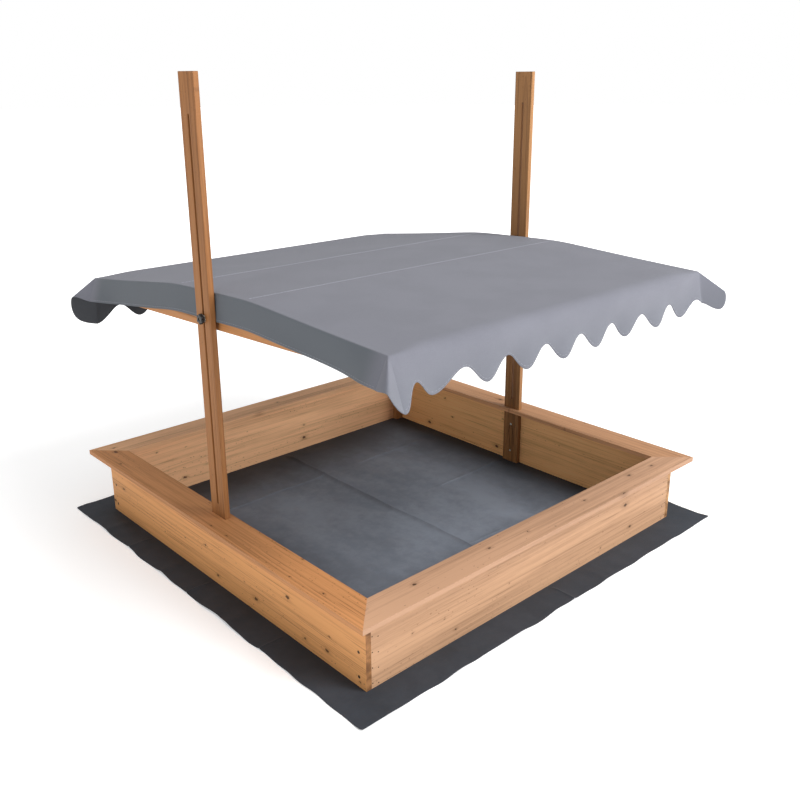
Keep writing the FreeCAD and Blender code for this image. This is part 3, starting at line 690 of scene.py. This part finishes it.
def add_valance(cloth, edge, columns, v_side):
    """The wavy cloth that hangs from the roof's front or back edge, as rows of points."""
    lines = []
    for x in columns:
        gap = HALF_WIDTH - abs(x)

        def ripple(length, x=x, gap=gap):
            """How far the hanging cloth swings out, or in, at this depth."""
            wave = math.cos((x - FIRST_TIP[v_side]) / WAVE * 2 * math.pi + 0.7 * v_side)
            loose = wander(x, v_side, 7.0, 4.4)
            inward = 0.05 + 0.09 * max(x / HALF_WIDTH, 0.0)
            share = ease((length - 25 * MM) / (60 * MM)) * ease(gap / (70 * MM))
            return share * (0.06 * wave + 0.18 * loose - inward)
        lean = corner_lean(math.copysign(1, x), v_side, "front")
        lean *= math.exp(-(gap / (50 * MM)) ** 2)
        start = (x, v_side * roof_end(x), roof_height(x, roof_end(x)))
        lengths = skirt_lengths(hem_depth(x, v_side), roll(x) * 1.4)
        lines.append((walk(start, (0, v_side), slope(x), math.pi / 2 - lean, roll(x), lengths,
                           ripple), lengths))
    strip = [edge]
    for k in range(SKIRT_ROWS + 3):
        strip.append([cloth.add(line[k], (x, v_side * (roof_end(x) + lengths[k])))
                      for x, (line, lengths) in zip(columns, lines)])
    cloth.fill(strip, turned=v_side < 0)
    return strip


def add_drape(cloth, edge, rows, x_side):
    """The straight cloth that hangs from one of the roof's gables, as rows of points."""
    lines = []
    for row in rows:
        v = row_place(HALF_WIDTH, row)
        gap = roof_end(HALF_WIDTH) - abs(v)

        def ripple(length, v=v, gap=gap):
            share = ease((length - 12 * MM) / (50 * MM)) * ease(gap / (90 * MM))
            return share * (0.05 + 0.15 * wander(v, x_side, 5.0, 6.1))
        lean = corner_lean(x_side, math.copysign(1, v), "side") - 0.03
        lean = 0.03 + lean * math.exp(-(gap / (85 * MM)) ** 2)
        start = (x_side * HALF_WIDTH, v, roof_height(HALF_WIDTH, v))
        depth = DRAPE + 2 * MM * wander(v, x_side, 4.0, 2.9) * ease(gap / (60 * MM))
        lengths = skirt_lengths(depth, FOLD * 1.5)
        lines.append((walk(start, (x_side, 0), 0.0, math.pi / 2 - lean, FOLD, lengths,
                           ripple), lengths))
    strip = [edge]
    for k in range(SKIRT_ROWS + 3):
        strip.append([cloth.add(line[k], (x_side * (HALF_WIDTH + lengths[k]), row))
                      for row, (line, lengths) in zip(rows, lines)])
    cloth.fill(strip, turned=x_side > 0)
    return strip


def corner_depth(x_side, v_side, share):
    """How far the cloth hangs at this share of the way round a corner. Where a notch comes
    at the corner, the loose cloth holds the next point."""
    at_edge = hem_depth(x_side * HALF_WIDTH, v_side)
    at_tip = TIP[v_side] + lift(HALF_WIDTH)
    notched = at_edge < at_tip - (TIP[v_side] - NOTCH[v_side]) / 2
    full = at_tip if notched else at_edge
    square = 4 if notched or v_side > 0 else 2
    turn = math.pi / 2 * share
    depth = ((math.sin(turn) / DRAPE) ** square
             + (math.cos(turn) / full) ** square) ** (-1 / square)
    return depth * (1 - (1 - at_edge / full) * (1 - ease(share / 0.26)))


def corner_line(start, x_side, v_side, share):
    """A line down the loose cloth of a corner, at this share of the way round from the
    front or back to the side. The cloth folds out along the corner's diagonal, and back."""
    ear_lean, ear_open = ear(x_side, v_side)
    half = "front" if share < 0.5 else "side"
    if (x_side, v_side) == (-1, -1):
        out = math.sin(math.pi * share) ** 2
    else:
        out = 1 - abs(2 * share - 1) ** (1.2 if half == "front" else 1.7)
    first_lean = math.atan(ear_open[half])
    lean = first_lean + (ear_lean - first_lean) * out
    along = math.tan(lean) / math.sqrt(2)
    apart = ear_open[half] * math.cos(math.pi * share) / math.sqrt(2)
    plan = np.array((x_side * (along - apart), v_side * (along + apart)))
    size = np.linalg.norm(plan)
    bend = CORNER_ROLL + (FOLD - CORNER_ROLL) * ease(share)
    lengths = skirt_lengths(corner_depth(x_side, v_side, share), bend * 1.4)
    line = walk(start, plan / size, slope(HALF_WIDTH) * (1 - share), math.atan2(1, size), bend,
                lengths)
    return line, lengths


def add_corner(cloth, apex, valance_line, drape_line, x_side, v_side):
    """The loose cloth between the ends of a valance and a drape."""
    start = (x_side * HALF_WIDTH, v_side * roof_end(HALF_WIDTH),
             roof_height(HALF_WIDTH, roof_end(HALF_WIDTH)))
    shares = [j / CORNER_STEPS for j in range(1, CORNER_STEPS)]
    lines = [corner_line(start, x_side, v_side, share) for share in shares]
    strip = [[apex] * (CORNER_STEPS + 1)]
    for k in range(SKIRT_ROWS + 3):
        row = [valance_line[k]]
        for share, (line, lengths) in zip(shares, lines):
            turn = math.pi / 2 * share
            row.append(cloth.add(line[k], (start[0] + x_side * math.sin(turn) * lengths[k],
                                           start[1] + v_side * math.cos(turn) * lengths[k])))
        strip.append(row + [drape_line[k]])
    cloth.fill(strip, turned=x_side * v_side < 0)


def canopy_sheet():
    """One cloth: the roof, a wavy valance front and back, a plain drape on each side,
    and at each corner the fold of loose cloth that a flat sheet makes over a frame.
    Returns the piece, and each hem's points with the way it faces."""
    cloth = Cloth()
    columns, rows = roof_columns(), roof_rows()
    roof = add_roof(cloth, columns, rows)
    ends = {-1: 0, 1: -1}
    valances = {side: add_valance(cloth, roof[ends[side]], columns, side) for side in (-1, 1)}
    drapes = {side: add_drape(cloth, [line[ends[side]] for line in roof], rows, side)
              for side in (-1, 1)}
    for x_side in (-1, 1):
        for v_side in (-1, 1):
            column, row = ends[x_side], ends[v_side]
            add_corner(cloth, roof[row][column],
                       [line[column] for line in valances[v_side][1:]],
                       [line[row] for line in drapes[x_side][1:]], x_side, v_side)

    # The cloth beyond the roof gets a darker colour: painted shade on the drapes and valances.
    material = cloth_material("canopy_cloth", rgb(108, 109, 118), rgb(99, 100, 109), 0.9 * MM,
                              0.85, 0.12, 0.0003,
                              hanging=(rgb(86, 91, 97), HALF_WIDTH, HALF_LENGTH))
    # Painted shade: the cloth's underside is a darker copy of the cloth, for the shade under the
    # canopy.
    painted_shade_underside = cloth_material("canopy_underside_painted_shade", rgb(62, 64, 68), rgb(56, 58, 62), 0.9 * MM,
                            0.85, 0.05, 0.0003)
    piece = mesh_piece("canopy_cover", cloth.points, cloth.faces, material, cloth.flat)
    piece.data.materials.append(painted_shade_underside)
    modifier(piece, "SUBSURF", levels=1, render_levels=1)
    modifier(piece, "SOLIDIFY", thickness=THICK, offset=1.0, material_offset=1)
    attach(piece, "canopy")
    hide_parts("canopy_top", "valance_front", "valance_back", "drape_left",
                "drape_right")
    hems = [(valances[side][-2], (0, side, 0)) for side in (-1, 1)]
    hems += [(drapes[side][-2], (side, 0, 0)) for side in (-1, 1)]
    return piece, [([cloth.points[i] for i in line], TO_WORLD.to_3x3() @ Vector(facing))
                   for line, facing in hems]


def stitches(name, colour, lines):
    """Rows of short threads: one along each line of points, standing off it to one side."""
    long, wide, high, pitch = 6.2 * MM, 1.5 * MM, 0.5 * MM, 9.0 * MM
    points, faces = [], []
    for line, outward in lines:
        gone, due = 0.0, pitch
        for a, b in zip(line[:-1], line[1:]):
            step = (b - a).length
            while gone + step >= due:
                middle = a.lerp(b, (due - gone) / step) + outward * (THICK + high / 3)
                along = (b - a).normalized()
                side = along.cross(outward).normalized()
                first = len(points)
                for i in (-1, 1):
                    for j, k in ((-1, -1), (1, -1), (0.6, 1), (-0.6, 1)):
                        points.append(middle + along * (i * long / 2) + side * (j * wide / 2)
                                      + outward * (k * high / 2))
                faces += [[first + n for n in quad] for quad in
                          ((0, 1, 2, 3), (7, 6, 5, 4), (0, 4, 5, 1), (1, 5, 6, 2),
                           (2, 6, 7, 3), (3, 7, 4, 0))]
                due += pitch
            gone += step
    thread = Tree(name + "_thread", 0.7)
    thread.set(Base_Color=colour)
    piece = mesh_piece(name, points, faces, thread.material, smooth=False)
    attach(piece, "canopy")
    return piece


def ridge_lines():
    """The two seams over the ridge bars, with the way they face."""
    facing = TO_WORLD.to_3x3() @ Vector((0, 0, 1))
    across = np.linspace(6 * MM - HALF_WIDTH, HALF_WIDTH - 6 * MM, 120)
    return [([TO_WORLD @ Vector((x, side * STITCH_LINE, roof_height(x, STITCH_LINE)))
              for x in across], facing) for side in (-1, 1)]


cover, hem_lines = canopy_sheet()
threads = [stitches("ridge_stitches", rgb(158, 160, 170), ridge_lines()),
           stitches("hem_stitches", rgb(120, 121, 130), hem_lines)]


# ---------------------------------------------------------------- camera, light, floor

AZIMUTH, DOWN, BANK = (math.radians(angle) for angle in (-42.61, 18.42, -0.28))
CAMERA_SPOT = (-1.53455, -1.72774, 1.18429)


def place_camera():
    """The camera that took the photo, as fitted to it."""
    data = bpy.data.cameras.new("camera")
    data.sensor_width = 36
    data.lens = 40.206
    data.shift_x = -0.00146
    data.shift_y = -0.03056
    data.clip_end = 100
    camera = bpy.data.objects.new("camera", data)
    bpy.context.scene.collection.objects.link(camera)
    bpy.context.scene.camera = camera
    look = Vector((-math.sin(AZIMUTH) * math.cos(DOWN), math.cos(AZIMUTH) * math.cos(DOWN),
                   -math.sin(DOWN)))
    level = look.cross(Vector((0, 0, 1))).normalized()
    upright = level.cross(look)
    right = level * math.cos(BANK) + upright * math.sin(BANK)
    up = upright * math.cos(BANK) - level * math.sin(BANK)
    turn = Matrix((right, up, -look)).transposed().to_4x4()
    camera.matrix_world = Matrix.Translation(CAMERA_SPOT) @ turn


place_camera()


def area_light(name, spot, size, power):
    """A soft round light, turned to the object."""
    data = bpy.data.lights.new(name, "AREA")
    data.shape = "DISK"
    data.size = size
    data.energy = power
    light = bpy.data.objects.new(name, data)
    bpy.context.scene.collection.objects.link(light)
    light.location = spot
    aim = Vector((0, 0, 0.4)) - Vector(spot)
    light.rotation_euler = aim.to_track_quat("-Z", "Y").to_euler()


area_light("low_key", (2.6, -5.4, 1.7), 2.4, 190)
area_light("high_key", (1.4, -4.4, 4.8), 3.0, 260)
area_light("overhead", (0.2, -0.2, 5.2), 4.5, 90)
area_light("side_fill", (-5.6, -0.8, 1.1), 2.4, 38)

def white_world(strength):
    """A backdrop that is white to look at, and lights the object less than that."""
    world = bpy.data.worlds.new("studio")
    bpy.context.scene.world = world
    world.use_nodes = True
    tree = world.node_tree
    sky = tree.nodes["Background"]
    sky.inputs[0].default_value = (1, 1, 1, 1)
    seen = tree.nodes.new("ShaderNodeLightPath")
    level = tree.nodes.new("ShaderNodeMapRange")
    level.inputs[3].default_value = strength
    tree.links.new(seen.outputs["Is Camera Ray"], level.inputs[0])
    tree.links.new(level.outputs[0], sky.inputs[1])


def white_floor(radius, sides):
    """A pale floor that brightens into the backdrop away from the object."""
    t = Tree("floor_white", 0.9)
    t.set(Base_Color=(0.86, 0.86, 0.86, 1), Emission_Color=(1, 1, 1, 1))
    distance = t.add("VectorMath", {0: t.where()}, operation="LENGTH").outputs[1]
    t.set(Emission_Strength=t.fit(distance, 1.0, 4.0, 0.32, 1.0))
    t.shader.inputs["Specular IOR Level"].default_value = 0.0
    ring = [(radius * math.cos(a), radius * math.sin(a), -0.5 * MM)
            for a in np.linspace(0, 2 * math.pi, sides + 1)[:-1]]
    mesh_piece("floor", ring, [list(range(sides))], t.material, smooth=False)


white_world(0.46)
white_floor(40, 64)
bpy.context.scene.view_settings.view_transform = "Standard"
